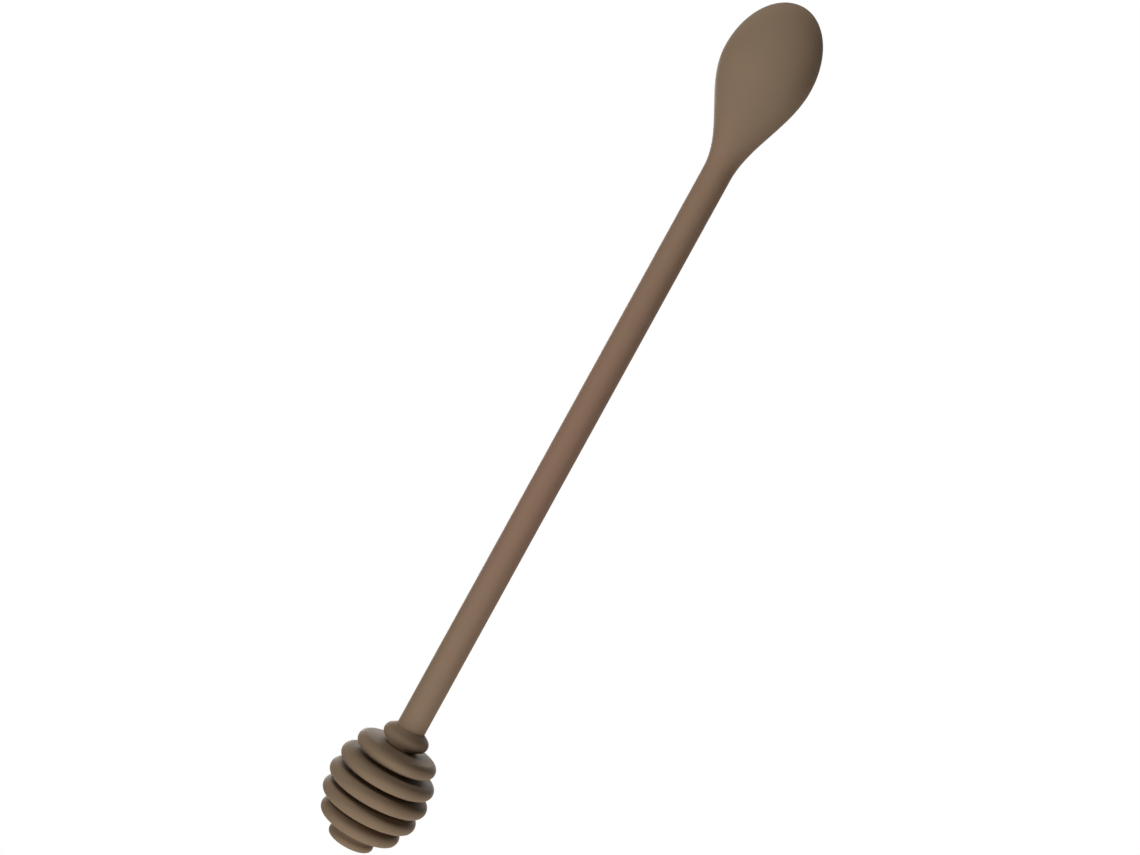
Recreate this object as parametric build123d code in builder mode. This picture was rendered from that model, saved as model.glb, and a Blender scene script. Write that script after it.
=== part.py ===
from build123d import *
from math import acos, atan2, cos, degrees, hypot, pi, radians, sin, sqrt
import os

# A double-ended honey tool: a grooved dipper head at -X and a deep spoon at +X.
# Millimetres, +Z up. The tool lies bowl up on the plane Z = 0, which it meets with its widest
# ridge and with the back of its bowl. The origin is on that plane, under the tool's middle.

# Overall sizes
overall_length = 240.0
handle_diameter = 7.7
head_diameter = 27.6
spoon_width = 25.0
spoon_depth = 10.1

# Dipper head
ridge_count = 7
ridge_pitch = 4.9
ridge_rim_radius = 1.95
end_ridge_rim_radius = 1.35
collar_rim_radius = 1.9
envelope_overhang = 1.8
groove_floor_radius = 5.0
groove_floor_gap = 0.55
collar_cone_length = 2.6
collar_undercut = 0.08
collar_groove_radius = 4.3
collar_seat_depth = 2.5
head_end_wall = 3.0

# Spoon
bowl_front_length = 17.4
bowl_rear_length = 17.0
throat_length = 11.2
tip_dip = 1.2
end_fullness = 1.4
rim_half_height = 1.4
wall_thickness = 2.8
mouth_flare = 1.8
flare_start_share = 0.3

# Stiff core
rod_diameter = 4.0
rod_chamfer = 0.4
rod_groove_width = 1.2
rod_groove_depth = 0.4
rod_groove_pitch = 3.6
rod_groove_count = 3
rod_groove_start = 2.5
blade_cover = 0.8
boss_length = 12.0
rod_in_neck = 6.0
keying_hole_diameter = 3.0
keying_hole_spacing = 6.5
hub_radius = 3.1
hub_flange_radius = 4.0
hub_flange_thickness = 1.2
hub_barb_height = 0.6
hub_barb_length = 3.4
hub_barb_count = 6
hub_end_wall = 2.0

# One overrun serves every cut
overrun = 1.0

# Angles from the widest section towards a rounded end, and shares of the neck's length
end_angles = (15, 30, 45, 58, 70, 80, 87)
neck_shares = (0.15, 0.3, 0.45, 0.6, 0.75, 0.88, 1.0)

# Places worked out from the sizes
handle_radius = handle_diameter / 2
head_radius = head_diameter / 2
rod_radius = rod_diameter / 2
axis_height = head_radius
under_depth = spoon_depth - rim_half_height
belly_sink = tip_dip ** 2 / (2 * end_fullness * under_depth)
middle_drop = axis_height - under_depth - belly_sink
tip_x = overall_length / 2
head_end_x = -overall_length / 2
widest_x = tip_x - bowl_front_length
neck_length = bowl_rear_length + throat_length
neck_end_x = widest_x - neck_length
last_ridge_x = head_end_x + end_ridge_rim_radius
first_ridge_x = last_ridge_x + ridge_pitch * (ridge_count - 1)
crease_x = first_ridge_x + collar_cone_length
skin_end_x = crease_x - collar_seat_depth
boss_radius = handle_radius - blade_cover
rod_spoon_end_x = neck_end_x + rod_in_neck
hub_end_x = head_end_x + head_end_wall
rod_head_end_x = hub_end_x + hub_end_wall
tool_axis = Axis((0, 0, axis_height), (1, 0, 0))
profile_plane = Plane((0, 0, axis_height), x_dir=(1, 0, 0), z_dir=(0, -1, 0))


def cross_plane(x, height):
    """A plane square to the tool at x, with its own x across the tool and its own y upwards."""
    return Plane((x, 0, height), x_dir=(0, 1, 0), z_dir=(1, 0, 0))


def ridge_radius(index):
    """Outer radius of one ridge, counted from the collar: the head swells like an ellipse.

    The ellipse runs past the middles of the collar's rim and of the last ridge by an overhang.
    """
    half_run = (ridge_count - 1) / 2 * ridge_pitch
    from_middle = index * ridge_pitch - half_run
    return head_radius * sqrt(1 - (from_middle / (half_run + envelope_overhang)) ** 2)


def rim_radius(index):
    """How round one ridge's rim is: the collar has its own, and the last ridge is thinner."""
    if index == 0:
        return collar_rim_radius
    return end_ridge_rim_radius if index == ridge_count - 1 else ridge_rim_radius


def groove_foot(index):
    """Where a ridge's lower side meets the groove's floor: distance past its rim, and radius."""
    if index == 0:
        return collar_rim_radius + collar_undercut, collar_groove_radius
    return (ridge_pitch - groove_floor_gap) / 2, groove_floor_radius


def touch_angle(along, below, radius):
    """Angle, from the +X side of a rim's circle, where a line from a foot point meets it tangent."""
    reach = hypot(along, below)
    return degrees(atan2(below, along) + acos(radius / reach))


def middle_height(x):
    """Height of the spoon's widest line at x: it drops along the neck and dips to the tip."""
    dip = tip_dip * (x - widest_x) / bowl_front_length
    return axis_height - (middle_drop + dip) * neck_share(x)


def neck_share(x):
    """One over the bowl's front, falling smoothly to zero where the neck becomes the handle."""
    run = min(max(widest_x - x, 0) / neck_length, 1)
    return (1 + cos(pi * run)) / 2


def front_stations(end_length):
    """Places along a rounded end, closer together towards the end, with their share of width."""
    return [(end_length * sin(radians(a)), cos(radians(a))) for a in end_angles]


def spoon_sections(cover):
    """Sections of the spoon's outside, each drawn in by a cover: x, half width, rise, depth."""
    sections = []
    for forward, width_share in reversed(front_stations(bowl_front_length - cover)):
        to_tip = (bowl_front_length - cover - forward) / rim_half_height
        rise_share = sqrt(1 - (1 - min(1, to_tip)) ** 2)
        half_width = (spoon_width / 2 - cover) * width_share
        rise = (rim_half_height - cover) * rise_share
        depth = (under_depth - cover) * width_share ** end_fullness
        sections.append((widest_x + forward, half_width, rise, depth))
    for share_of_neck in (0, *neck_shares):
        x = widest_x - neck_length * share_of_neck
        share = neck_share(x)
        half_width = handle_radius + (spoon_width / 2 - handle_radius) * share - cover
        rise = handle_radius + (rim_half_height - handle_radius) * share - cover
        depth = handle_radius + (under_depth - handle_radius) * share - cover
        sections.append((x, half_width, rise, depth))
    return sections


def hollow_sections(wall):
    """Sections of the bowl's hollow inside a wall: x, half width, depth, lift of its widest line.

    The lift follows the neck's top, so the hollow opens upwards right to its rear end.
    """
    half_width = spoon_width / 2 - wall
    front = front_stations(bowl_front_length - wall)
    rear = front_stations(bowl_rear_length + wall_thickness - wall)
    stations = [(widest_x + run, share) for run, share in reversed(front)]
    stations.append((widest_x, 1))
    stations += [(widest_x - run, share) for run, share in rear]
    sections = []
    for x, share in stations:
        lift = (handle_radius - rim_half_height) * (1 - neck_share(x))
        depth = (under_depth - wall + lift) * share ** end_fullness
        sections.append((x, half_width * share, depth, lift))
    return sections


def spoon_outline(x, half_width, rise, depth):
    """One closed section of the spoon: a shallow half ellipse over a deep one."""
    with BuildSketch(cross_plane(x, middle_height(x))) as outline:
        with BuildLine():
            EllipticalCenterArc((0, 0), half_width, rise, start_angle=0, arc_size=180)
            EllipticalCenterArc((0, 0), half_width, depth, start_angle=180, arc_size=180)
        make_face()
    return outline.sketch


def hollow_outline(x, half_width, depth, lift):
    """One closed section of the hollow: a half ellipse below a mouth that flares at its edge."""
    start = rim_half_height * flare_start_share
    top = rim_half_height + overrun
    flared = half_width * (1 + mouth_flare / (spoon_width / 2))
    with BuildSketch(cross_plane(x, middle_height(x) + lift)) as outline:
        with BuildLine():
            EllipticalCenterArc((0, 0), half_width, depth, start_angle=180, arc_size=180)
            Polyline((half_width, 0), (half_width, start), (flared, top),
                     (-flared, top), (-half_width, start), (-half_width, 0))
        make_face()
    return outline.sketch


# Core rod: ring grooves near both ends lock the mouldings that hold it
with BuildPart() as core_rod:
    with BuildSketch(profile_plane):
        with Locations(((rod_head_end_x + rod_spoon_end_x) / 2, rod_radius / 2)):
            rod_half = Rectangle(rod_spoon_end_x - rod_head_end_x, rod_radius)
        chamfer(rod_half.vertices().group_by(Axis.Y)[-1], rod_chamfer)
        for index in range(rod_groove_count):
            from_end = rod_groove_start + rod_groove_width / 2 + index * rod_groove_pitch
            groove_y = rod_radius - rod_groove_depth / 2 + overrun / 2
            with Locations((rod_head_end_x + from_end, groove_y), (rod_spoon_end_x - from_end, groove_y)):
                Rectangle(rod_groove_width, rod_groove_depth + overrun, mode=Mode.SUBTRACT)
    revolve(axis=tool_axis)
core_rod.part.label = "core_rod"

# Spoon blade: a stiffener that follows the bowl, with a socket boss round the rod
with BuildPart() as spoon_blade:
    blade_hollow = hollow_sections(wall_thickness - blade_cover)
    loft([spoon_outline(*section) for section in spoon_sections(blade_cover)])
    with BuildSketch(cross_plane(neck_end_x, axis_height)):
        Circle(boss_radius)
    extrude(amount=-boss_length)
    loft([hollow_outline(*section) for section in blade_hollow], mode=Mode.SUBTRACT)
    with BuildSketch(Plane.XY.offset(-overrun)):
        with Locations(*[(widest_x + step * keying_hole_spacing, 0) for step in (-1, 0, 1)]):
            Circle(keying_hole_diameter / 2)
    extrude(amount=axis_height, mode=Mode.SUBTRACT)
    add(core_rod.part, mode=Mode.SUBTRACT)
spoon_blade.part.label = "spoon_blade"

# Head hub: moulded on the rod's other end, with barbs that hold the soft head
with BuildPart() as head_hub:
    with BuildSketch(profile_plane):
        with BuildLine():
            foot_x = skin_end_x - hub_flange_thickness
            outline = [(skin_end_x, 0), (skin_end_x, hub_flange_radius), (foot_x, hub_flange_radius)]
            outline.append((foot_x, hub_radius))
            for index in range(hub_barb_count):
                foot_x -= hub_barb_length
                outline += [(foot_x, hub_radius), (foot_x, hub_radius + hub_barb_height)]
            outline += [(foot_x - hub_barb_length, hub_radius), (hub_end_x, hub_radius), (hub_end_x, 0)]
            Polyline(*outline, close=True)
        make_face()
    revolve(axis=tool_axis)
    add(core_rod.part, mode=Mode.SUBTRACT)
head_hub.part.label = "head_hub"

# Spoon and handle skin: one soft moulding over the blade and the rod
with BuildPart() as spoon_handle_skin:
    loft([spoon_outline(*section) for section in spoon_sections(0)])
    with BuildSketch(cross_plane(neck_end_x, axis_height)):
        Circle(handle_radius)
    extrude(amount=skin_end_x - neck_end_x)
    loft([hollow_outline(*section) for section in hollow_sections(wall_thickness)], mode=Mode.SUBTRACT)
    add(spoon_blade.part, mode=Mode.SUBTRACT)
    add(core_rod.part, mode=Mode.SUBTRACT)
spoon_handle_skin.part.label = "spoon_handle_skin"

# Dipper head: a coned collar and rounded ridges with narrow grooves, over the barbed hub
with BuildPart() as dipper_head:
    with BuildSketch(profile_plane):
        with BuildLine():
            last_point = Line((crease_x, 0), (crease_x, handle_radius)) @ 1
            for index in range(ridge_count):
                rim = rim_radius(index)
                centre_x = first_ridge_x - index * ridge_pitch
                centre_y = ridge_radius(index) - rim
                is_last = index == ridge_count - 1
                foot_run, floor_radius = groove_foot(index)
                start = touch_angle(last_point.X - centre_x, last_point.Y - centre_y, rim)
                end = 180 if is_last else 180 - touch_angle(foot_run, floor_radius - centre_y, rim)
                arc = CenterArc((centre_x, centre_y), rim, start, end - start)
                Line(last_point, arc @ 0)
                last_point = arc @ 1
                if not is_last:
                    lower_foot = (centre_x - foot_run, floor_radius)
                    next_foot = (lower_foot[0] - groove_floor_gap, floor_radius)
                    Line(last_point, lower_foot)
                    last_point = Line(lower_foot, next_foot) @ 1
            Polyline(last_point, (head_end_x, 0), (crease_x, 0))
        make_face()
    revolve(axis=tool_axis)
    with BuildSketch(cross_plane(crease_x, axis_height)):
        Circle(handle_radius)
    extrude(amount=-collar_seat_depth, mode=Mode.SUBTRACT)
    add(head_hub.part, mode=Mode.SUBTRACT)
    add(core_rod.part, mode=Mode.SUBTRACT)
dipper_head.part.label = "dipper_head"

os.makedirs("parts", exist_ok=True)
for piece in (core_rod, spoon_blade, head_hub, spoon_handle_skin, dipper_head):
    export_step(piece.part, f"parts/{piece.part.label}.step")
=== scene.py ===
import logging
from dataclasses import dataclass
from enum import Enum
from math import cos, pi, radians, sin, sqrt

import bmesh
import bpy
from mathutils import Matrix, Quaternion, Vector

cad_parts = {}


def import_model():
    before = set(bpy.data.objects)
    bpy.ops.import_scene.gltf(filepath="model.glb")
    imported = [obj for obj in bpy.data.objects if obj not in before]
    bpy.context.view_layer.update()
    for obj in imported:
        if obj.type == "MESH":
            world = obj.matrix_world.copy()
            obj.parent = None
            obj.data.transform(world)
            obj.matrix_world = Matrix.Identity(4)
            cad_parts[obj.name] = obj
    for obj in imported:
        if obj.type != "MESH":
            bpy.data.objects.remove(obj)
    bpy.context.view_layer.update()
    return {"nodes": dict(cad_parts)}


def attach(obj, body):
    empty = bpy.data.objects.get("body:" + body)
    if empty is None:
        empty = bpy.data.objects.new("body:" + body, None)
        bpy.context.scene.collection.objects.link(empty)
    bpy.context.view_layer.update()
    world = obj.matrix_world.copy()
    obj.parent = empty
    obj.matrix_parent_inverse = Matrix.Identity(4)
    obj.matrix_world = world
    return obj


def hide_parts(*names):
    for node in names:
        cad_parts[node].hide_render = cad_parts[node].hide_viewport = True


# A double-ended honey tool in moulded silicone: a grooved dipper head at -X and a deep spoon at +X.
# The tool lies bowl up on its floor at Z = 0. The photograph shows it from the back of the bowl, so
# the camera stands under the floor. The floor is see-through from below and pale from above.
# Sizes are written in millimetres and become metres where a mesh, a lamp or the camera is made.

MM = 0.001
LOG = logging.getLogger("honey_tool")
Point = tuple[float, float, float]
Colour = tuple[float, float, float]
Loop = list[Point]

WHITE = (1.0, 1.0, 1.0, 1.0)
# Rows, columns and ridges have whole numbers, which half a step tells apart.
HALF_STEP = 0.5
# Where a colour's Mix node has its share, its two colours and its result.
MIX_SHARE, MIX_FIRST, MIX_SECOND, MIX_RESULT = 0, 6, 7, 2


class Slot(Enum):
    """The record's material slots for the spoon's skin and the head."""

    SKIN = "silicone"
    HEAD = "head_silicone"


# ---------------------------------------------------------------- node building


class Wire:
    """One socket of a node tree, which plain arithmetic turns into math nodes."""

    def __init__(self, tree: bpy.types.NodeTree, socket: bpy.types.NodeSocket) -> None:
        """Keep a socket and the tree that it is in.

        Args:
            tree: The node tree that new math nodes go into.
            socket: The output socket that carries this value.
        """
        self.tree = tree
        self.socket = socket

    def math(self, operation: str, *others: "Wire | float") -> "Wire":
        """Put this value and others through one math node.

        Args:
            operation: The math node's operation.
            others: The second and third values, where the operation takes them.

        Returns:
            The node's result.
        """
        node = self.tree.nodes.new("ShaderNodeMath")
        node.operation = operation
        for socket, value in zip(node.inputs, (self, *others)):
            feed(self.tree, socket, value)
        return Wire(self.tree, node.outputs[0])

    def __add__(self, other: "Wire | float") -> "Wire":
        """Sum of two values."""
        return self.math("ADD", other)

    def __sub__(self, other: "Wire | float") -> "Wire":
        """Difference of two values."""
        return self.math("SUBTRACT", other)

    def __mul__(self, other: "Wire | float") -> "Wire":
        """Product of two values."""
        return self.math("MULTIPLY", other)

    def __truediv__(self, other: "Wire | float") -> "Wire":
        """Quotient of two values."""
        return self.math("DIVIDE", other)

    def mixed(self, other: "Wire | float", mask: "Wire") -> "Wire":
        """This value where the mask is 0, and the other where it is 1."""
        gap = self.math("SUBTRACT", other) * -1.0
        return gap.math("MULTIPLY_ADD", mask, self)

    def is_near(self, value: "Wire | float") -> "Wire":
        """One where this whole number equals a value, else zero."""
        return self.math("COMPARE", value, HALF_STEP)


def feed(tree: bpy.types.NodeTree, socket: bpy.types.NodeSocket, value: object) -> None:
    """Link what carries a value to an input, or set the input to the value itself.

    Args:
        tree: The node tree.
        socket: The input socket.
        value: A wire, an output socket or a plain value.
    """
    if isinstance(value, Wire):
        value = value.socket
    if isinstance(value, bpy.types.NodeSocket):
        tree.links.new(value, socket)
    else:
        socket.default_value = value


def new_node(tree: bpy.types.NodeTree, kind: str, settings: dict[str, object] | None = None,
             **inputs: object) -> bpy.types.Node:
    """Add one node, set its properties and fill or link its inputs.

    Args:
        tree: The node tree.
        kind: The node's type name.
        settings: Values of the node's own properties.
        inputs: Values or wires by input name, with underscores for spaces.

    Returns:
        The new node.
    """
    node = tree.nodes.new(kind)
    for name, value in (settings or {}).items():
        setattr(node, name, value)
    for name, value in inputs.items():
        feed(tree, node.inputs[name.replace("_", " ")], value)
    return node


def mixed_colour(tree: bpy.types.NodeTree, share: object, first: object,
                 second: object) -> bpy.types.NodeSocket:
    """Mix two colours.

    Args:
        tree: The node tree.
        share: The second colour's share.
        first: The colour where the share is 0.
        second: The colour where it is 1.

    Returns:
        The socket that carries the mix.
    """
    node = new_node(tree, "ShaderNodeMix", {"data_type": "RGBA"})
    for index, value in ((MIX_SHARE, share), (MIX_FIRST, first), (MIX_SECOND, second)):
        feed(tree, node.inputs[index], value)
    return node.outputs[MIX_RESULT]


# ---------------------------------------------------------------- meshes


@dataclass(frozen=True)
class MeshMaker:
    """Turns strips of points into one closed, smooth mesh."""

    weld_mm: float = 0.0005
    crease_degrees: float = 48.0

    def finish(self, name: str, strips: list[list[Loop]]) -> bpy.types.Object:
        """Join strips of points into one object at the origin.

        Args:
            name: The name of the object and its mesh.
            strips: Rows of points, each strip with rows of one length.

        Returns:
            The object, with its doubles merged and its faces outwards.
        """
        shape = bmesh.new()
        for rows in strips:
            grid = [[shape.verts.new(Vector(point) * MM) for point in row] for row in rows]
            for row, following in zip(grid, grid[1:]):
                for left, right, far_left, far_right in zip(row, row[1:], following, following[1:]):
                    shape.faces.new((left, far_left, far_right, right))
        bmesh.ops.remove_doubles(shape, verts=shape.verts, dist=self.weld_mm * MM)
        bmesh.ops.dissolve_degenerate(shape, edges=shape.edges, dist=self.weld_mm * MM)
        bmesh.ops.recalc_face_normals(shape, faces=shape.faces)
        for face in shape.faces:
            face.smooth = True
        for edge in shape.edges:
            edge.smooth = edge.calc_face_angle(0.0) < radians(self.crease_degrees)
        mesh = bpy.data.meshes.new(name)
        shape.to_mesh(mesh)
        shape.free()
        piece = bpy.data.objects.new(name, mesh)
        bpy.context.scene.collection.objects.link(piece)
        return piece


# ---------------------------------------------------------------- finishes


# How the mottle's two clouds are mixed, and where and how sharply a cloud starts.
BROAD_CLOUD_SHARE = 0.7
FINE_CLOUD_SHARE = 0.3
CLOUD_START = 0.35
CLOUD_CONTRAST = 3.2


@dataclass(frozen=True)
class Effects:
    """Shader groups that more than one finish uses."""

    mottle: bpy.types.NodeTree
    grain: bpy.types.NodeTree

    @staticmethod
    def group(name: str, inputs: dict[str, str], output: str, kind: str) -> bpy.types.NodeTree:
        """Make an empty shader group.

        Args:
            name: The group's name.
            inputs: The socket type of each input, by name.
            output: The name of its one output.
            kind: The socket type of the output.

        Returns:
            The group, with its sockets named.
        """
        tree = bpy.data.node_groups.new(name, "ShaderNodeTree")
        for label, socket_type in inputs.items():
            tree.interface.new_socket(name=label, in_out="INPUT", socket_type=socket_type)
        tree.interface.new_socket(name=output, in_out="OUTPUT", socket_type=kind)
        return tree

    @classmethod
    def build(cls) -> "Effects":
        """Build each shared group once."""
        return cls(cls.build_mottle(), cls.build_grain())

    @classmethod
    def build_mottle(cls) -> bpy.types.NodeTree:
        """A colour that drifts softly towards a second one, in two sizes of cloud.

        Returns:
            The group.
        """
        sockets = {"Position": "NodeSocketVector"}
        sockets |= dict.fromkeys(("Base", "Drift"), "NodeSocketColor")
        sockets |= dict.fromkeys(("Broad Scale", "Fine Scale", "Amount"), "NodeSocketFloat")
        tree = cls.group("silicone mottle", sockets, "Color", "NodeSocketColor")
        given = tree.nodes.new("NodeGroupInput").outputs
        broad = new_node(tree, "ShaderNodeTexNoise", Vector=given["Position"],
                         Scale=given["Broad Scale"], Detail=2.0, Roughness=0.5)
        fine = new_node(tree, "ShaderNodeTexNoise", Vector=given["Position"],
                        Scale=given["Fine Scale"], Detail=4.0, Roughness=0.6)
        clouds = Wire(tree, broad.outputs["Fac"]) * BROAD_CLOUD_SHARE
        clouds = clouds + Wire(tree, fine.outputs["Fac"]) * FINE_CLOUD_SHARE
        share = (clouds - CLOUD_START) * CLOUD_CONTRAST
        share = share.math("MAXIMUM", 0.0).math("MINIMUM", 1.0) * Wire(tree, given["Amount"])
        out = tree.nodes.new("NodeGroupOutput")
        feed(tree, out.inputs["Color"], mixed_colour(tree, share, given["Base"], given["Drift"]))
        return tree

    @classmethod
    def build_grain(cls) -> bpy.types.NodeTree:
        """A fine matt grain on a slow waviness, as a blasted mould leaves them: a height in mm.

        Returns:
            The group.
        """
        sockets = {"Position": "NodeSocketVector"}
        names = ("Grain Scale", "Grain Depth", "Wave Scale", "Wave Depth")
        sockets |= dict.fromkeys(names, "NodeSocketFloat")
        tree = cls.group("mould grain", sockets, "Height", "NodeSocketFloat")
        given = tree.nodes.new("NodeGroupInput").outputs
        grain = new_node(tree, "ShaderNodeTexNoise", Vector=given["Position"],
                         Scale=given["Grain Scale"], Detail=3.0, Roughness=0.65)
        wave = new_node(tree, "ShaderNodeTexNoise", Vector=given["Position"],
                        Scale=given["Wave Scale"], Detail=1.0, Roughness=0.4)
        height = Wire(tree, grain.outputs["Fac"]) * Wire(tree, given["Grain Depth"])
        height = height + Wire(tree, wave.outputs["Fac"]) * Wire(tree, given["Wave Depth"])
        out = tree.nodes.new("NodeGroupOutput")
        feed(tree, out.inputs["Height"], height)
        return tree


@dataclass(frozen=True)
class Finish:
    """One finish: a Principled surface with a drifting colour and a grain.

    Scales are counted per metre. A stretch under 1 draws clouds and grain out along that axis.
    """

    name: str
    base: Colour
    drift: Colour
    roughness: float
    roughness_swing: float = 0.08
    metallic: float = 0.0
    index_of_refraction: float = 1.41
    specular_level: float = 0.5
    broad_scale: float = 22.0
    fine_scale: float = 160.0
    mottle_amount: float = 0.5
    grain_scale: float = 5200.0
    grain_depth_mm: float = 0.004
    wave_scale: float = 240.0
    wave_depth_mm: float = 0.02
    stretch: tuple[float, float, float] = (1.0, 1.0, 1.0)
    warm_base: Colour | None = None
    warm_x: float = -5.0
    warm_reach: float = 100.0

    def base_colour(self, tree: bpy.types.NodeTree, place: bpy.types.NodeSocket) -> object:
        """The base colour, which may turn a little warmer round the middle of the handle.

        Args:
            tree: The material's node tree.
            place: The Object coordinates.

        Returns:
            A colour, or the socket that carries it.
        """
        if self.warm_base is None:
            return (*self.base, 1.0)
        along = Wire(tree, new_node(tree, "ShaderNodeSeparateXYZ", Vector=place).outputs["X"])
        away = (along - self.warm_x * MM).math("ABSOLUTE")
        share = new_node(tree, "ShaderNodeMapRange", {"interpolation_type": "SMOOTHSTEP"},
                         Value=away, From_Max=self.warm_reach * MM).outputs["Result"]
        return mixed_colour(tree, share, (*self.warm_base, 1.0), (*self.base, 1.0))

    def material(self, effects: Effects) -> bpy.types.Material:
        """Build the material.

        Args:
            effects: The shared shader groups.

        Returns:
            The material, in Object coordinates.
        """
        material = bpy.data.materials.new(self.name)
        material.use_nodes = True
        tree = material.node_tree
        surface = tree.nodes["Principled BSDF"]
        surface.inputs["Metallic"].default_value = self.metallic
        surface.inputs["IOR"].default_value = self.index_of_refraction
        surface.inputs["Specular IOR Level"].default_value = self.specular_level
        place = new_node(tree, "ShaderNodeTexCoord").outputs["Object"]
        mapping = new_node(tree, "ShaderNodeMapping", Vector=place, Scale=self.stretch)
        position = mapping.outputs["Vector"]
        colour = new_node(tree, "ShaderNodeGroup", {"node_tree": effects.mottle},
                          Position=position, Base=self.base_colour(tree, place),
                          Drift=(*self.drift, 1.0), Broad_Scale=self.broad_scale,
                          Fine_Scale=self.fine_scale, Amount=self.mottle_amount)
        feed(tree, surface.inputs["Base Color"], colour.outputs["Color"])
        patches = new_node(tree, "ShaderNodeTexNoise", Vector=position, Scale=self.fine_scale,
                           Detail=2.0).outputs["Fac"]
        mean_patch = 0.5
        rough = (Wire(tree, patches) - mean_patch).math(
            "MULTIPLY_ADD", self.roughness_swing / mean_patch, self.roughness)
        feed(tree, surface.inputs["Roughness"], rough)
        height = new_node(tree, "ShaderNodeGroup", {"node_tree": effects.grain}, Position=position,
                          Grain_Scale=self.grain_scale, Grain_Depth=self.grain_depth_mm,
                          Wave_Scale=self.wave_scale, Wave_Depth=self.wave_depth_mm)
        bump = new_node(tree, "ShaderNodeBump", Height=height.outputs["Height"], Distance=MM)
        feed(tree, surface.inputs["Normal"], bump.outputs["Normal"])
        return material


# Colours are linear. The head's colours are set a little darker than the rest, as painted shade,
# and the head is less glossy.
SKIN_SILICONE = Finish(
    name="taupe silicone, spoon and handle",
    base=(0.225, 0.163, 0.107), warm_base=(0.250, 0.153, 0.106), drift=(0.256, 0.157, 0.103),
    roughness=0.62, specular_level=0.11)
# Painted shade: the head is the same silicone as the spoon and handle, with darker base and drift
# colours for the shade in its grooves.
HEAD_SILICONE_PAINTED_SHADE = Finish(
    name="taupe silicone, dipper head, painted shade",
    base=(0.209, 0.149, 0.097), drift=(0.220, 0.150, 0.099), roughness=0.60,
    specular_level=0.06, broad_scale=60.0)
CORE_NYLON = Finish(
    name="dark nylon with glass fibre",
    base=(0.045, 0.038, 0.034), drift=(0.075, 0.066, 0.060), roughness=0.48, roughness_swing=0.12,
    index_of_refraction=1.53, fine_scale=900.0, mottle_amount=0.8, grain_scale=2600.0,
    grain_depth_mm=0.012, stretch=(0.35, 1.0, 1.0))
ROD_STEEL = Finish(
    name="drawn stainless rod",
    base=(0.60, 0.60, 0.61), drift=(0.52, 0.52, 0.54), roughness=0.30, roughness_swing=0.14,
    metallic=1.0, index_of_refraction=2.5, fine_scale=1400.0, mottle_amount=0.7,
    grain_scale=3800.0, grain_depth_mm=0.003, wave_depth_mm=0.0, stretch=(0.04, 1.0, 1.0))


# ---------------------------------------------------------------- the spoon and its handle


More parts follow.
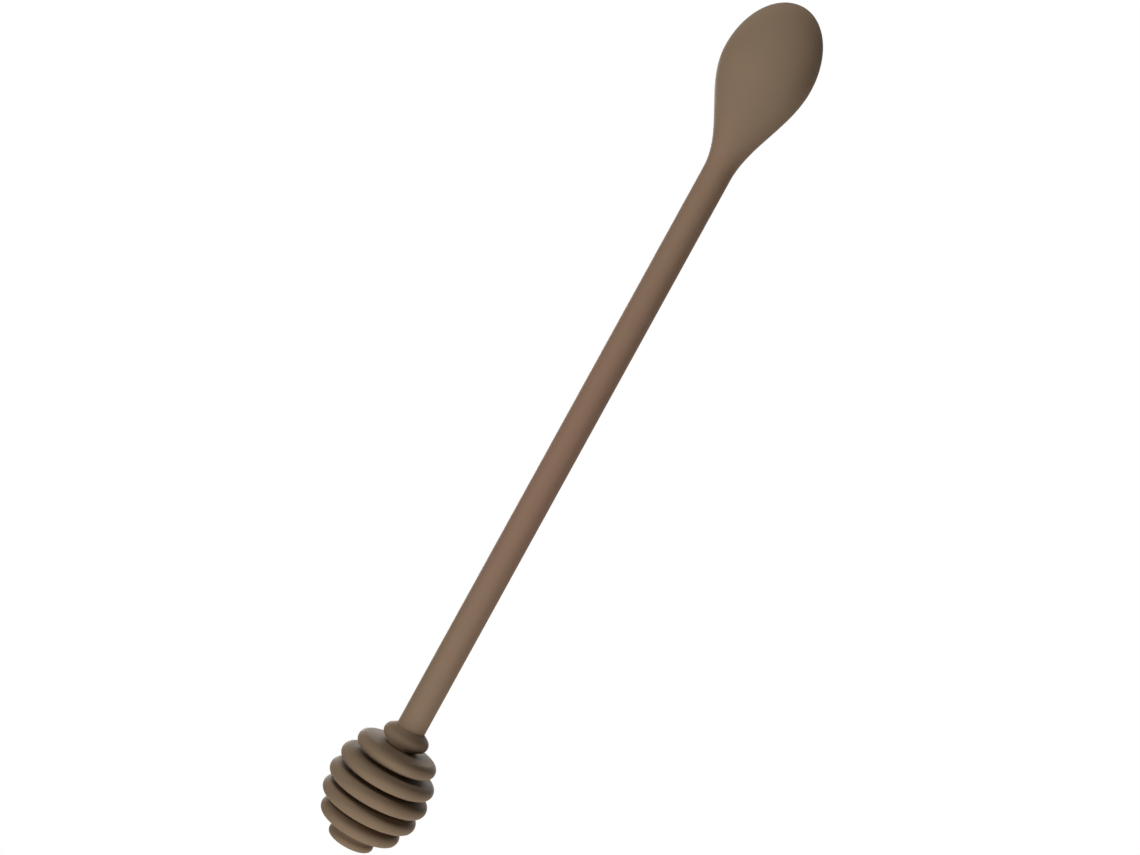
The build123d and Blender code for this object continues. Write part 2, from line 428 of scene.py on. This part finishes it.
@dataclass(frozen=True)
class SpoonHandle:
    """One silicone moulding: the bowl, its neck and the long round handle."""

    tip_x: float = 120.0
    axis_height: float = 13.8
    handle_radius: float = 3.85
    end_x: float = -89.15
    end_round: float = 0.3
    half_width: float = 12.5
    under_depth: float = 8.7
    rim_half_height: float = 1.4
    front_length: float = 17.4
    neck_length: float = 28.2
    tip_dip: float = 1.2
    end_fullness: float = 1.4
    belly_sink: float = 0.0591
    wall: float = 2.8
    hollow_rear_length: float = 17.0
    edge_round: float = 0.9
    plain_wall_share: float = 0.25
    parting_height: float = 0.035
    parting_crowding: float = 0.7
    band_crowding: float = 1.5
    lower_steps: int = 72
    band_steps: int = 14
    edge_steps: int = 7
    hollow_steps: int = 60
    bowl_stations: int = 44
    tip_stations: int = 16
    neck_stations: int = 26
    handle_stations: int = 22
    end_steps: int = 4

    @property
    def widest_x(self) -> float:
        """Where the bowl is widest."""
        return self.tip_x - self.front_length

    def neck_share(self, x: float) -> float:
        """One over the bowl's front, falling smoothly to zero where the neck becomes the handle."""
        run = min(max(self.widest_x - x, 0.0) / self.neck_length, 1.0)
        return (1 + cos(pi * run)) / 2

    def forward_share(self, x: float) -> float:
        """Share of the full width that is left at x in front of the widest place."""
        return sqrt(max(0.0, 1 - (max(0.0, x - self.widest_x) / self.front_length) ** 2))

    def middle(self, x: float) -> float:
        """Height of the widest line at x."""
        drop = self.axis_height - self.under_depth - self.belly_sink
        dip = self.tip_dip * (x - self.widest_x) / self.front_length
        return self.axis_height - (drop + dip) * self.neck_share(x)

    def width(self, x: float) -> float:
        """Half width at x."""
        spread = (self.half_width - self.handle_radius) * self.neck_share(x)
        return (self.handle_radius + spread) * self.forward_share(x)

    def rise(self, x: float) -> float:
        """Height of the top above the widest line at x, in the plane of symmetry."""
        to_tip = min(1.0, max(0.0, self.tip_x - x) / self.rim_half_height)
        full = self.handle_radius + (self.rim_half_height - self.handle_radius) * self.neck_share(x)
        return full * sqrt(1 - (1 - to_tip) ** 2)

    def depth(self, x: float) -> float:
        """Depth of the back below the widest line at x, in the plane of symmetry."""
        full = self.handle_radius + (self.under_depth - self.handle_radius) * self.neck_share(x)
        return full * self.forward_share(x) ** self.end_fullness

    def lift(self, x: float) -> float:
        """How far the hollow's own widest line stands above the tool's at x."""
        return (self.handle_radius - self.rim_half_height) * (1 - self.neck_share(x))

    def top(self, x: float, y: float) -> float:
        """Height of the top surface at x and y."""
        inside = 1 - (y / self.width(x)) ** 2 if self.width(x) else 0.0
        return self.middle(x) + self.rise(x) * sqrt(max(0.0, inside))

    def crowded(self, share: float) -> float:
        """An angle from 0 to pi, with its steps closer together at both ends."""
        turn = pi * share
        return turn - self.parting_crowding * sin(2 * turn) / 2

    def lower_row(self, x: float) -> Loop:
        """The back's half ellipse at x, from +Y to -Y, with the parting line at its ends."""
        row = []
        for step in range(self.lower_steps + 1):
            turn = self.crowded(step / self.lower_steps)
            row.append((x, self.width(x) * cos(turn), self.middle(x) - self.depth(x) * sin(turn)))
        return [self.parted(row[0], x), *row[1:-1], self.parted(row[-1], x)]

    def parted(self, point: Point, x: float) -> Point:
        """Move a point of the widest line out by the parting line's height."""
        if not self.forward_share(x):
            return point
        return (point[0], point[1] + self.parting_height * (1 if point[1] > 0 else -1), point[2])

    def band_row(self, x: float, inner_y: float, side: int) -> Loop:
        """The top surface at x, from the widest line to an inner edge.

        Args:
            x: Where along the tool.
            inner_y: Distance of the inner edge from the plane of symmetry.
            side: 1 for the +Y side, -1 for the other.

        Returns:
            The row of points.
        """
        width = self.width(x)
        last_share = min(1.0, inner_y / width) if width else 0.0
        row = []
        for step in range(self.band_steps + 1):
            turn = (step / self.band_steps) ** self.band_crowding * (pi / 2)
            y = width * (last_share + (1 - last_share) * (1 - sin(turn)))
            row.append((x, side * y, self.top(x, y)))
        row[0] = self.parted((x, side * width, self.middle(x)), x)
        row[-1] = (x, side * inner_y, self.top(x, inner_y))
        return row

    def hollow_edge(self, turn: float) -> tuple[float, float, float, float]:
        """The hollow's edge in plan, and the edge's outward direction.

        Args:
            turn: Angle from -pi / 2, the rear end, to pi / 2, the front end.

        Returns:
            Place and direction: x, y, direction x, direction y.
        """
        length = self.front_length - self.wall if turn > 0 else self.hollow_rear_length
        wide = self.half_width - self.wall
        across = (wide * sin(turn), length * cos(turn))
        size = sqrt(across[0] ** 2 + across[1] ** 2)
        return (self.widest_x + length * sin(turn), max(0.0, wide * cos(turn)),
                across[0] / size, max(0.0, across[1] / size))

    def hollow_rows(self, turn: float) -> tuple[Loop, Loop, Loop]:
        """The rounded edge on both sides and the hollow between them, at one angle of its edge.

        Args:
            turn: Angle as in hollow_edge.

        Returns:
            The +Y edge, the hollow from +Y to -Y, and the -Y edge.
        """
        x, y, out_x, out_y = self.hollow_edge(turn)
        line = self.middle(x) + self.lift(x)
        corner = self.top(x, y)
        start = (x + self.edge_round * out_x, y + self.edge_round * out_y)
        start_z = self.top(*start)
        foot_z = line + self.plain_wall_share * (corner - line)
        edge = []
        for step in range(self.edge_steps + 1):
            u = step / self.edge_steps
            shares = ((1 - u) ** 2, 2 * u * (1 - u), u ** 2)
            edge.append(tuple(
                sum(share * value for share, value in zip(shares, values))
                for values in ((start[0], x, x), (start[1], y, y), (start_z, corner, foot_z))))
        clearance = self.under_depth - self.wall + self.lift(x)
        depth = clearance * max(0.0, cos(turn)) ** self.end_fullness
        hollow = [(x, y, foot_z)]
        for step in range(self.hollow_steps + 1):
            around = pi * step / self.hollow_steps
            hollow.append((x, y * cos(around), line - depth * sin(around)))
        hollow.append((x, -y, foot_z))
        return edge, hollow, [(px, -py, pz) for px, py, pz in edge]

    def stations(self, inner: list[tuple[float, float]]) -> list[tuple[float, float]]:
        """Places along the moulding, from the tip to where the handle's end starts to round.

        Args:
            inner: The inner edge of the bowl's top, from its front end to its rear.

        Returns:
            Each place, with the inner edge's distance from the plane of symmetry.
        """
        front_share = (inner[0][0] - self.widest_x) / self.front_length
        start = sqrt(1 - front_share ** 2)
        places = []
        for step in range(self.tip_stations):
            left = start * (step / self.tip_stations)
            places.append((self.widest_x + self.front_length * sqrt(1 - left ** 2), 0.0))
        places += inner
        neck_end = self.widest_x - self.neck_length
        handle_end = self.end_x + self.end_round
        for end, count in ((neck_end, self.neck_stations), (handle_end, self.handle_stations)):
            begin = places[-1][0]
            places += [(begin + (end - begin) * step / count, 0.0) for step in range(1, count + 1)]
        return places

    def build(self) -> bpy.types.Object:
        """Build the moulding.

        Returns:
            The piece, closed and welded.
        """
        count = 2 * self.bowl_stations
        hollow = [self.hollow_rows(pi / 2 - pi * step / count) for step in range(count + 1)]
        stations = self.stations([edge[0][:2] for edge, _, _ in hollow])
        strips = [[self.lower_row(x) for x, _ in stations]]
        for side in (1, -1):
            strips.append([self.band_row(x, inner_y, side) for x, inner_y in stations])
        strips += [list(rows) for rows in zip(*hollow)]
        strips += self.end_cap(stations[-1][0])
        return MeshMaker().finish("spoon_handle", strips)

    def end_cap(self, round_start: float) -> list[list[Loop]]:
        """The handle's rounded end inside the head's collar.

        Args:
            round_start: Where the end's rounding starts.

        Returns:
            The strips that close the handle.
        """
        shares = []
        for step in range(self.end_steps + 1):
            turn = pi / 2 * step / self.end_steps
            inward = self.end_round * (1 - cos(turn))
            shares.append((self.end_round * sin(turn), 1 - inward / self.handle_radius))
        shares.append((self.end_round, 0.0))
        middle = self.axis_height
        rows = [self.lower_row(round_start)]
        rows += [self.band_row(round_start, 0.0, side) for side in (1, -1)]
        return [[[(round_start - along, y * share, middle + (z - middle) * share)
                  for _, y, z in row] for along, share in shares] for row in rows]


# ---------------------------------------------------------------- the dipper head


# The profile's rows: a pole and the seat's edge before the ridges, a foot on each side of every
# rim, and a pole after the last.
LEAD_ROWS = 2.0
FOOT_ROWS = 2.0
# The flat end has one more ring, at this share of the last rim's height.
END_RING_SHARE = 0.6
# A column is on the parting line where the cosine of twice its angle is above this.
PARTING_COSINE = 0.99999


@dataclass(frozen=True)
class DipperHead:
    """One silicone moulding: a coned collar and round ridges with narrow grooves between."""

    ridge_count: int = 7
    ridge_pitch: float = 4.9
    rim_radius: float = 1.95
    end_rim_radius: float = 1.35
    collar_rim_radius: float = 1.9
    head_radius: float = 13.8
    swell_half_length: float = 16.5
    floor_radius: float = 5.0
    floor_gap: float = 0.55
    cone_length: float = 2.6
    collar_undercut: float = 0.08
    collar_groove_radius: float = 4.3
    seat_depth: float = 2.5
    seat_radius: float = 3.87
    first_ridge_x: float = -89.25
    axis_height: float = 13.8
    parting_height: float = 0.05
    rim_rows: int = 24
    columns: int = 224
    parting_crowding: float = 0.7
    crease_degrees: float = 48.0
    weld_mm: float = 0.001
    clean_mm: float = 0.0001

    def inputs(self) -> dict[str, tuple[str, float]]:
        """The tree's named inputs, with their socket types and values: lengths are in metres."""
        lengths = {
            "Ridge Pitch": self.ridge_pitch, "Rim Radius": self.rim_radius,
            "End Rim Radius": self.end_rim_radius, "Collar Rim Radius": self.collar_rim_radius,
            "Collar Undercut": self.collar_undercut,
            "Collar Groove Radius": self.collar_groove_radius, "Head Radius": self.head_radius,
            "Swell Half Length": self.swell_half_length, "Floor Radius": self.floor_radius,
            "Floor Gap": self.floor_gap, "Cone Length": self.cone_length,
            "Seat Depth": self.seat_depth, "Seat Radius": self.seat_radius,
            "First Ridge X": self.first_ridge_x, "Axis Height": self.axis_height,
            "Parting Height": self.parting_height}
        counts = {"Ridge Count": self.ridge_count, "Rim Rows": self.rim_rows,
                  "Columns": self.columns}
        named = {name: ("NodeSocketFloat", length * MM) for name, length in lengths.items()}
        named |= {name: ("NodeSocketInt", count) for name, count in counts.items()}
        named["Parting Crowding"] = ("NodeSocketFloat", self.parting_crowding)
        named["Crease Angle"] = ("NodeSocketFloat", radians(self.crease_degrees))
        return named

    def tree(self, material: bpy.types.Material) -> bpy.types.NodeTree:
        """Build the node tree that turns the ridges' profile round the handle's axis.

        Args:
            material: The finish that the tree gives the mesh.

        Returns:
            The tree, with one named input for each size.
        """
        tree = bpy.data.node_groups.new("ridged head", "GeometryNodeTree")
        for name, (kind, _) in self.inputs().items():
            tree.interface.new_socket(name=name, in_out="INPUT", socket_type=kind)
        tree.interface.new_socket(name="Geometry", in_out="OUTPUT",
                                  socket_type="NodeSocketGeometry")
        given_node = tree.nodes.new("NodeGroupInput")
        given = {name: Wire(tree, given_node.outputs[name]) for name in self.inputs()}
        rows = given["Ridge Count"].math("MULTIPLY_ADD", given["Rim Rows"], LEAD_ROWS + 1.0)
        grid = new_node(tree, "GeometryNodeMeshGrid", Size_X=1.0, Size_Y=1.0, Vertices_X=rows,
                        Vertices_Y=given["Columns"] + 1.0)
        corner = new_node(tree, "GeometryNodeInputPosition").outputs["Position"]
        spot = new_node(tree, "ShaderNodeSeparateXYZ", Vector=corner)
        half_grid = 0.5
        row = ((Wire(tree, spot.outputs["X"]) + half_grid) * (rows - 1.0)).math("ROUND")
        column = (Wire(tree, spot.outputs["Y"]) + half_grid) * given["Columns"]
        along, radius, on_rim = self.profile(given, row, rows)
        place = self.turned(tree, given, column.math("ROUND"), along, radius, on_rim)
        mesh = new_node(tree, "GeometryNodeSetPosition", Geometry=grid.outputs["Mesh"],
                        Position=place)
        mesh = new_node(tree, "GeometryNodeMergeByDistance", Geometry=mesh.outputs[0],
                        Distance=self.weld_mm * MM)
        mesh = new_node(tree, "GeometryNodeSetShadeSmooth", {"domain": "FACE"},
                        Geometry=mesh.outputs[0], Shade_Smooth=True)
        angle = new_node(tree, "GeometryNodeInputMeshEdgeAngle").outputs["Unsigned Angle"]
        is_crease = Wire(tree, angle).math("GREATER_THAN", given["Crease Angle"])
        mesh = new_node(tree, "GeometryNodeSetShadeSmooth", {"domain": "EDGE"},
                        Geometry=mesh.outputs[0], Selection=is_crease, Shade_Smooth=False)
        mesh = new_node(tree, "GeometryNodeRealizeInstances", Geometry=mesh.outputs[0])
        mesh = new_node(tree, "GeometryNodeSetMaterial", Geometry=mesh.outputs[0],
                        Material=material)
        out = tree.nodes.new("NodeGroupOutput")
        feed(tree, out.inputs["Geometry"], mesh.outputs[0])
        return tree

    @staticmethod
    def touch_angle(along: Wire, below: Wire, radius: Wire) -> Wire:
        """Angle on a rim's circle where a line from a foot point meets it tangent.

        Args:
            along: Distance of the foot from the rim's centre along the axis.
            below: Height of the foot over the rim's centre, negative below it.
            radius: The rim's radius.

        Returns:
            The angle, from the foot's side of the circle.
        """
        reach = (along * along + below * below).math("SQRT")
        return below.math("ARCTAN2", along) + (radius / reach).math("ARCCOSINE")

    def profile(self, given: dict[str, Wire], row: Wire, rows: Wire) -> tuple[Wire, Wire, Wire]:
        """Work out the profile's point for each row of the grid.

        Args:
            given: The tree's inputs.
            row: The row's number.
            rows: How many rows there are.

        Returns:
            Place along the axis, distance from it, and one where the point is on a rim.
        """
        last = given["Ridge Count"] - 1.0
        ridge = ((row - LEAD_ROWS) / given["Rim Rows"]).math("FLOOR")
        ridge = ridge.math("MAXIMUM", 0.0).math("MINIMUM", last)
        step = row - LEAD_ROWS - ridge * given["Rim Rows"]
        is_first = ridge.is_near(0.0)
        is_last = ridge.is_near(last)
        from_middle = (ridge - last / 2.0) * given["Ridge Pitch"] / given["Swell Half Length"]
        outer = ((from_middle * from_middle - 1.0) * -1.0).math("SQRT") * given["Head Radius"]
        rim = given["Rim Radius"].mixed(given["End Rim Radius"], is_last)
        rim = rim.mixed(given["Collar Rim Radius"], is_first)
        centre_x = given["First Ridge X"] - ridge * given["Ridge Pitch"]
        centre_y = outer - rim
        groove_run = given["Ridge Pitch"] - given["Floor Gap"]
        foot_half = groove_run / 2.0
        collar_half = given["Collar Rim Radius"] + given["Collar Undercut"]
        after_collar = ridge.is_near(1.0)
        upper_along = foot_half.mixed(groove_run - collar_half, after_collar)
        upper_along = upper_along.mixed(given["Cone Length"], is_first)
        upper_foot = given["Floor Radius"].mixed(given["Collar Groove Radius"], after_collar)
        upper_foot = upper_foot.mixed(given["Seat Radius"], is_first)
        lower_along = foot_half.mixed(collar_half, is_first)
        lower_foot = given["Floor Radius"].mixed(given["Collar Groove Radius"], is_first)
        start = self.touch_angle(upper_along, upper_foot - centre_y, rim)
        plain_end = self.touch_angle(lower_along, lower_foot - centre_y, rim) * -1.0 + pi
        end = plain_end.mixed(pi, is_last)
        share = (step - 1.0) / (given["Rim Rows"] - (FOOT_ROWS + 1.0))
        turn = start + (end - start) * share
        x = centre_x + rim * turn.math("COSINE")
        y = centre_y + rim * turn.math("SINE")
        is_upper = step.math("LESS_THAN", HALF_STEP)
        x = x.mixed(centre_x + upper_along, is_upper)
        y = y.mixed(upper_foot, is_upper)
        is_lower = step.math("GREATER_THAN", given["Rim Rows"] - (1.0 + HALF_STEP))
        x = x.mixed((centre_x - lower_along).mixed(centre_x - rim, is_last), is_lower)
        y = y.mixed(lower_foot.mixed(centre_y * END_RING_SHARE, is_last), is_lower)
        seat_x = given["First Ridge X"] + given["Cone Length"] - given["Seat Depth"]
        before = row.math("LESS_THAN", LEAD_ROWS - HALF_STEP)
        x = x.mixed(seat_x, before)
        y = y.mixed(given["Seat Radius"], before)
        is_pole = row.is_near(0.0).math("MAXIMUM", row.is_near(rows - 1.0))
        head_end = given["First Ridge X"] - last * given["Ridge Pitch"] - given["End Rim Radius"]
        x = x.mixed(head_end, row.is_near(rows - 1.0))
        y = y.mixed(0.0, is_pole)
        on_rim = (is_upper + is_lower + before + is_pole).math("LESS_THAN", HALF_STEP)
        return x, y, on_rim

    @staticmethod
    def turned(tree: bpy.types.NodeTree, given: dict[str, Wire], column: Wire, along: Wire,
               radius: Wire, on_rim: Wire) -> bpy.types.NodeSocket:
        """Turn the profile's point to its column's place round the axis.

        Args:
            tree: The node tree.
            given: The tree's inputs.
            column: The column's number.
            along: Place along the axis.
            radius: Distance from the axis.
            on_rim: One where the parting line's ridge shows.

        Returns:
            The position.
        """
        turn = column * (2 * pi) / given["Columns"]
        double = turn * 2.0
        crowded = turn - double.math("SINE") * given["Parting Crowding"] / 2.0
        across = double.math("COSINE").math("GREATER_THAN", PARTING_COSINE)
        out = radius + across * on_rim * given["Parting Height"]
        place = new_node(tree, "ShaderNodeCombineXYZ", X=along, Y=out * crowded.math("COSINE"),
                         Z=out * crowded.math("SINE") + given["Axis Height"])
        return place.outputs["Vector"]

    def build(self, material: bpy.types.Material) -> bpy.types.Object:
        """Run the tree and keep its result as a plain mesh.

        Args:
            material: The head's finish.

        Returns:
            The piece.
        """
        piece = bpy.data.objects.new("grooved_head", bpy.data.meshes.new("grooved_head"))
        bpy.context.scene.collection.objects.link(piece)
        modifier = piece.modifiers.new("ridges", "NODES")
        modifier.node_group = self.tree(material)
        for item in modifier.node_group.interface.items_tree:
            if item.in_out == "INPUT":
                modifier[item.identifier] = self.inputs()[item.name][1]
        evaluated = piece.evaluated_get(bpy.context.evaluated_depsgraph_get())
        mesh = bpy.data.meshes.new_from_object(evaluated)
        piece.modifiers.clear()
        mesh.name = piece.name
        piece.data = mesh
        shape = bmesh.new()
        shape.from_mesh(mesh)
        bmesh.ops.dissolve_degenerate(shape, edges=shape.edges, dist=self.clean_mm * MM)
        bmesh.ops.recalc_face_normals(shape, faces=shape.faces)
        shape.to_mesh(mesh)
        shape.free()
        return piece


# ---------------------------------------------------------------- the studio


@dataclass(frozen=True)
class Lamp:
    """One soft round lamp.

    Its place is counted from the aim: right and up in the main picture, and near, which is
    towards the camera.
    """

    name: str
    right: float
    up: float
    near: float
    size: float
    watts: float


@dataclass(frozen=True)
class Studio:
    """Camera, floor, world and lamps. The camera was fitted to the outline in the photograph."""

    camera_at: Point = (11.75, 118.77, -379.96)
    aim: Point = (0.35, -1.61, 13.79)
    handle_lean_degrees: float = 28.85
    focal_pixels: float = 1618.9
    picture_width: float = 1140.0
    sensor_width: float = 36.0
    clip_start: float = 10.0
    floor_half_size: float = 3000.0
    floor_drop: float = 0.02
    floor_colour: Colour = (0.86, 0.86, 0.85)
    floor_roughness: float = 0.9
    floor_specular_level: float = 0.1
    fade_start: float = 150.0
    fade_end: float = 560.0
    world_light: float = 0.03
    lamps: tuple[Lamp, ...] = (
        Lamp("lamp past the dipper head", right=0.0, up=-480.0, near=270.0, size=260.0,
             watts=2.2),
        Lamp("lamp at the left", right=-400.0, up=60.0, near=300.0, size=260.0, watts=1.36),
        Lamp("lamp past the spoon", right=0.0, up=480.0, near=250.0, size=260.0, watts=1.2),
        Lamp("lamp over the floor", right=-160.0, up=120.0, near=-740.0, size=500.0, watts=4.5),
        Lamp("fill over the floor", right=240.0, up=-90.0, near=-720.0, size=500.0, watts=1.6),
    )

    def axes(self) -> tuple[Vector, Vector, Vector]:
        """The picture's right, up and forward directions in the scene.

        Returns:
            Three unit vectors, with the handle leaning to the right of up by its angle.
        """
        forward = (Vector(self.aim) - Vector(self.camera_at)).normalized()
        handle = Vector((1.0, 0.0, 0.0))
        in_picture = (handle - handle.dot(forward) * forward).normalized()
        up = Quaternion(forward, -radians(self.handle_lean_degrees)) @ in_picture
        return forward.cross(up), up, forward

    def place_camera(self) -> None:
        """Add the camera and make it the scene's own."""
        right, up, forward = self.axes()
        data = bpy.data.cameras.new("camera")
        data.sensor_width = self.sensor_width
        data.lens = self.focal_pixels * self.sensor_width / self.picture_width
        data.clip_start = self.clip_start * MM
        camera = bpy.data.objects.new("camera", data)
        turn = Matrix((right, up, -forward)).transposed().to_4x4()
        camera.matrix_world = Matrix.Translation(Vector(self.camera_at) * MM) @ turn
        bpy.context.scene.collection.objects.link(camera)
        bpy.context.scene.camera = camera

    def place_lamps(self) -> None:
        """Add the soft lamps, each facing the tool."""
        right, up, forward = self.axes()
        for lamp in self.lamps:
            data = bpy.data.lights.new(lamp.name, "AREA")
            data.shape = "DISK"
            data.size = lamp.size * MM
            data.energy = lamp.watts
            light = bpy.data.objects.new(lamp.name, data)
            offset = right * lamp.right + up * lamp.up - forward * lamp.near
            facing = (-offset).to_track_quat("-Z", "Y").to_matrix().to_4x4()
            light.matrix_world = Matrix.Translation((Vector(self.aim) + offset) * MM) @ facing
            bpy.context.scene.collection.objects.link(light)

    def light_world(self) -> None:
        """A white world to the camera, in gloss and through glass, and a faint one as light."""
        world = bpy.data.worlds.new("studio")
        world.use_nodes = True
        bpy.context.scene.world = world
        tree = world.node_tree
        path = tree.nodes.new("ShaderNodeLightPath")
        seen = Wire(tree, path.outputs["Is Camera Ray"])
        for ray in ("Is Glossy Ray", "Is Transmission Ray"):
            seen = seen.math("MAXIMUM", Wire(tree, path.outputs[ray]))
        strength = seen.math("MULTIPLY_ADD", 1.0 - self.world_light, self.world_light)
        background = tree.nodes["Background"]
        background.inputs["Color"].default_value = WHITE
        feed(tree, background.inputs["Strength"], strength)

    def lay_floor(self) -> None:
        """A pale floor that takes shadows from above and lets the camera look up through it."""
        half = self.floor_half_size
        corners = [Vector((x, y, -self.floor_drop)) * MM
                   for x, y in ((-half, -half), (half, -half), (half, half), (-half, half))]
        mesh = bpy.data.meshes.new("floor")
        mesh.from_pydata(corners, [], [(0, 1, 2, 3)])
        floor = bpy.data.objects.new("floor", mesh)
        bpy.context.scene.collection.objects.link(floor)
        floor.visible_shadow = False
        floor.visible_diffuse = False
        mesh.materials.append(self.floor_material())

    def floor_material(self) -> bpy.types.Material:
        """The floor's finish: pale, white to the camera far away, and clear from below.

        Returns:
            The material.
        """
        material = bpy.data.materials.new("pale floor")
        material.use_nodes = True
        tree = material.node_tree
        surface = tree.nodes["Principled BSDF"]
        surface.inputs["Base Color"].default_value = (*self.floor_colour, 1.0)
        surface.inputs["Roughness"].default_value = self.floor_roughness
        surface.inputs["Specular IOR Level"].default_value = self.floor_specular_level
        white = new_node(tree, "ShaderNodeEmission", Color=WHITE, Strength=1.0)
        clear = tree.nodes.new("ShaderNodeBsdfTransparent")
        place = new_node(tree, "ShaderNodeTexCoord").outputs["Object"]
        distance = new_node(tree, "ShaderNodeVectorMath", {"operation": "LENGTH"}, Vector=place)
        fade = new_node(tree, "ShaderNodeMapRange", {"interpolation_type": "SMOOTHSTEP"},
                        Value=distance.outputs["Value"], From_Min=self.fade_start * MM,
                        From_Max=self.fade_end * MM)
        seen = tree.nodes.new("ShaderNodeLightPath").outputs["Is Camera Ray"]
        far_share = Wire(tree, fade.outputs["Result"]) * Wire(tree, seen)
        below = tree.nodes.new("ShaderNodeNewGeometry").outputs["Backfacing"]
        shown = surface.outputs[0]
        for share, other in ((far_share, white), (below, clear)):
            blend = new_node(tree, "ShaderNodeMixShader", Fac=share)
            for socket, shader in zip(blend.inputs[1:], (shown, other.outputs[0])):
                feed(tree, socket, shader)
            shown = blend.outputs[0]
        feed(tree, tree.nodes["Material Output"].inputs["Surface"], shown)
        return material

    def build(self) -> None:
        """Set the whole stage."""
        bpy.context.scene.view_settings.view_transform = "Standard"
        self.place_camera()
        self.place_lamps()
        self.light_world()
        self.lay_floor()


# ---------------------------------------------------------------- assembly


def dress_node(node: bpy.types.Object, material: bpy.types.Material) -> None:
    """Give a carried-over CAD solid a material in each of its slots."""
    if not node.material_slots:
        node.data.materials.append(material)
    for entry in node.material_slots:
        entry.material = material
    LOG.info("%s: %s", node.name, material.name)


def place_piece(piece: bpy.types.Object, node: str) -> None:
    """Let a new piece stand for its CAD node and ride with the tool."""
    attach(piece, "root")
    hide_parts(node)
    LOG.info("%s: %d faces, for %s", piece.name, len(piece.data.polygons), node)


def main() -> None:
    """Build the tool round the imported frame, and the studio round the tool."""
    logging.basicConfig(level=logging.INFO, format="%(name)s: %(message)s")
    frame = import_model()
    effects = Effects.build()
    spoon = SpoonHandle().build()
    spoon.data.materials.append(SKIN_SILICONE.material(effects))
    place_piece(spoon, "spoon_handle_skin")
    head = DipperHead().build(HEAD_SILICONE_PAINTED_SHADE.material(effects))
    place_piece(head, "dipper_head")
    nylon = CORE_NYLON.material(effects)
    for name in ("spoon_blade", "head_hub"):
        dress_node(frame["nodes"][name], nylon)
    dress_node(frame["nodes"]["core_rod"], ROD_STEEL.material(effects))
    Studio().build()


if __name__ == "__main__":
    main()
